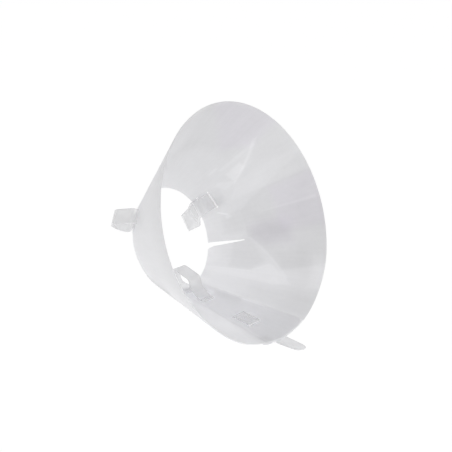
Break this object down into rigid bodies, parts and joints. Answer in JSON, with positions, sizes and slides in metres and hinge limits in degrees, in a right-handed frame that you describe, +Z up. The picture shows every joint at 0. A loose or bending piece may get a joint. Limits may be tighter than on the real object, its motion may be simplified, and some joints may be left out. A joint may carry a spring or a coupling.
{
  "type": "elizabethan collar",
  "caption": "Frosted plastic cone collar for a pet, lapped shut with a threaded strap, with a relief slit and two loops for the pet's own collar.",
  "frame": {"origin": "centre of the bounding box at floor level: the collar lies on the closing strap's outer face", "axes": "+Z up, +X from the neck opening towards the mouth, along the closing strap, +Y level and across the mouth, the object's widest direction"},
  "size_m": [0.2052, 0.2306, 0.2026],
  "materials": {
    "frosted_sheet": "frosted translucent polypropylene sheet",
    "strap_plastic": "translucent polypropylene strap, slightly glossy"
  },
  "bodies": {
    "root": {"cone_sheet": "frosted_sheet", "closing_strap": "strap_plastic", "upper_loop_strap": "strap_plastic", "side_loop_strap": "strap_plastic"}
  },
  "joints": []
}
